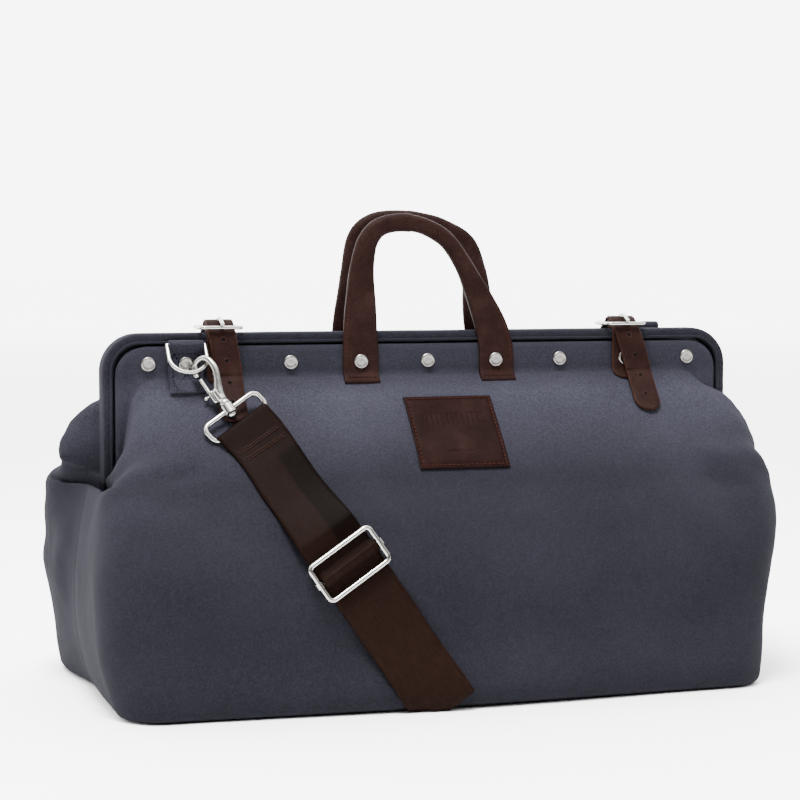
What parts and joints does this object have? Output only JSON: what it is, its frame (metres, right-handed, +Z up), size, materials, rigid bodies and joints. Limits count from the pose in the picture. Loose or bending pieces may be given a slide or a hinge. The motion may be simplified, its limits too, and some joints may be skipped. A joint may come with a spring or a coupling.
{
  "type": "doctor bag",
  "caption": "Canvas doctor bag with a hinged steel mouth frame, folding leather handles, buckled closure belts and a clip-on webbing shoulder strap.",
  "frame": {"origin": "middle of the base, on the surface the bag stands on", "axes": "+X along the bag's length, +Y from the front face to the rear face, +Z up"},
  "size_m": [0.55, 0.2928, 0.3771],
  "materials": {
    "canvas": "matte",
    "lining": "matte",
    "board": "matte",
    "leather": "satin",
    "webbing": "satin",
    "nickel": "satin",
    "frame_steel": "matte"
  },
  "bodies": {
    "bag_body": {"front_panel_lower": "canvas", "rear_panel_lower": "canvas", "base_panel": "canvas", "base_board": "board", "lining": "lining", "hinge_brackets": "frame_steel", "hinge_pins": "nickel", "strap_front": "webbing", "strap_base": "webbing", "strap_rear": "webbing"},
    "front_frame": {"front_panel_upper": "canvas", "front_frame_bar": "frame_steel", "front_rivets": "nickel", "front_rivet_washers": "nickel", "front_patch": "leather", "front_handle_feet": "leather", "front_ring_tab": "canvas", "left_buckle_tab": "leather", "right_buckle_tab": "leather"},
    "rear_frame": {"rear_panel_upper": "canvas", "rear_frame_bar": "frame_steel", "rear_rim": "canvas", "rear_rivets": "nickel", "rear_rivet_washers": "nickel", "rear_handle_feet": "leather", "rear_ring_tab": "canvas", "left_belt_root": "leather", "right_belt_root": "leather"},
    "left_belt": {"left_belt_end": "leather"},
    "right_belt": {"right_belt_end": "leather"},
    "left_buckle_body": {"left_buckle": "nickel"},
    "right_buckle_body": {"right_buckle": "nickel"},
    "left_prong_body": {"left_prong": "nickel"},
    "right_prong_body": {"right_prong": "nickel"},
    "front_handle": {"front_handle_grip": "leather"},
    "rear_handle": {"rear_handle_grip": "leather"},
    "front_ring": {"front_d_ring": "nickel"},
    "rear_ring": {"rear_d_ring": "nickel"},
    "front_eye_body": {"front_eye": "nickel"},
    "rear_eye_body": {"rear_eye": "nickel"},
    "front_hook": {"front_snap_hook": "nickel"},
    "rear_hook": {"rear_snap_hook": "nickel"},
    "front_bolt": {"front_hook_bolt": "nickel"},
    "rear_bolt": {"rear_hook_bolt": "nickel"},
    "slider": {"slider_frame": "nickel"},
    "slider_bar_body": {"slider_bar": "nickel"}
  },
  "joints": [
    {"name": "rear_opening", "type": "hinge", "parent": "bag_body", "child": "rear_frame", "pos_m": [0, 0, 0.162], "axis": [-1, 0, 0], "range_deg": [0, 40], "deforming": ["rear_panel_upper", "strap_rear"]},
    {"name": "front_opening", "type": "hinge", "parent": "bag_body", "child": "front_frame", "pos_m": [0, 0, 0.162], "axis": [1, 0, 0], "range_deg": [0, 40], "deforming": ["front_panel_upper", "strap_front"]},
    {"name": "left_belt_lift", "type": "hinge", "parent": "rear_frame", "child": "left_belt", "pos_m": [-0.171, 0.009, 0.278], "axis": [-1, 0, 0], "range_deg": [0, 140], "deforming": ["left_belt_end"]},
    {"name": "left_buckle_turn", "type": "hinge", "parent": "front_frame", "child": "left_buckle_body", "pos_m": [-0.171, -0.004, 0.2842], "axis": [-1, 0, 0], "range_deg": [0, 40]},
    {"name": "left_prong_turn", "type": "hinge", "parent": "left_buckle_body", "child": "left_prong_body", "pos_m": [-0.171, -0.004, 0.2842], "axis": [-1, 0, 0], "range_deg": [0, 120]},
    {"name": "right_belt_lift", "type": "hinge", "parent": "rear_frame", "child": "right_belt", "pos_m": [0.171, 0.009, 0.278], "axis": [-1, 0, 0], "range_deg": [0, 140], "deforming": ["right_belt_end"]},
    {"name": "right_buckle_turn", "type": "hinge", "parent": "front_frame", "child": "right_buckle_body", "pos_m": [0.171, -0.004, 0.2842], "axis": [-1, 0, 0], "range_deg": [0, 40]},
    {"name": "right_prong_turn", "type": "hinge", "parent": "right_buckle_body", "child": "right_prong_body", "pos_m": [0.171, -0.004, 0.2842], "axis": [-1, 0, 0], "range_deg": [0, 120]},
    {"name": "front_handle_fold", "type": "hinge", "parent": "front_frame", "child": "front_handle", "pos_m": [0, -0.0131, 0.272], "axis": [1, 0, 0], "range_deg": [0, 70]},
    {"name": "rear_handle_fold", "type": "hinge", "parent": "rear_frame", "child": "rear_handle", "pos_m": [0, 0.0131, 0.272], "axis": [-1, 0, 0], "range_deg": [0, 70]},
    {"name": "front_strap_tilt", "type": "hinge", "parent": "front_frame", "child": "front_eye_body", "pos_m": [-0.1634, -0.057, 0.2109], "axis": [0.8131, 0.2875, 0.5062], "range_deg": [-0.5, 5]},
    {"name": "front_ring_lift", "type": "hinge", "parent": "front_frame", "child": "front_ring", "pos_m": [-0.199, -0.0153, 0.271], "axis": [-1, 0, 0], "range_deg": [-0.95, 9.5]},
    {"name": "front_hook_swivel", "type": "hinge", "parent": "front_eye_body", "child": "front_hook", "pos_m": [-0.17271, -0.05057, 0.22221], "axis": [-0.4067, 0.5344, 0.7409], "range_deg": [-6, 6]},
    {"name": "front_bolt_slide", "type": "slide", "parent": "front_hook", "child": "front_bolt", "axis": [0.4067, -0.5344, -0.7409], "range_m": [0, 0.007], "stiffness_N_per_m": 300, "springref_m": -0.003},
    {"name": "rear_strap_tilt", "type": "hinge", "parent": "rear_frame", "child": "rear_eye_body", "pos_m": [0.1634, 0.057, 0.2109], "axis": [-0.8131, -0.2875, 0.5062], "range_deg": [-0.5, 5]},
    {"name": "rear_ring_lift", "type": "hinge", "parent": "rear_frame", "child": "rear_ring", "pos_m": [0.199, 0.0153, 0.271], "axis": [1, 0, 0], "range_deg": [-0.95, 9.5]},
    {"name": "rear_hook_swivel", "type": "hinge", "parent": "rear_eye_body", "child": "rear_hook", "pos_m": [0.17271, 0.05057, 0.22221], "axis": [0.4067, -0.5344, 0.7409], "range_deg": [-6, 6]},
    {"name": "rear_bolt_slide", "type": "slide", "parent": "rear_hook", "child": "rear_bolt", "axis": [-0.4067, 0.5344, -0.7409], "range_m": [0, 0.007], "stiffness_N_per_m": 300, "springref_m": -0.003},
    {"name": "slider_slide", "type": "slide", "parent": "bag_body", "child": "slider", "axis": [-0.5446, 0.1744, 0.8203], "range_m": [-0.015, 0.015]},
    {"name": "slider_bar_slide", "type": "slide", "parent": "slider", "child": "slider_bar_body", "axis": [-0.5446, 0.1744, 0.8203], "range_m": [-0.005, 0.005]}
  ],
  "couplings": [
    {"joint": "front_opening", "follows": "rear_opening", "ratio": 1},
    {"joint": "left_belt_lift", "follows": "rear_opening", "ratio": 3.5},
    {"joint": "left_buckle_turn", "follows": "rear_opening", "ratio": 1},
    {"joint": "right_belt_lift", "follows": "rear_opening", "ratio": 3.5},
    {"joint": "right_buckle_turn", "follows": "rear_opening", "ratio": 1},
    {"joint": "front_ring_lift", "follows": "front_strap_tilt", "ratio": 1.9},
    {"joint": "rear_ring_lift", "follows": "rear_strap_tilt", "ratio": 1.9}
  ]
}
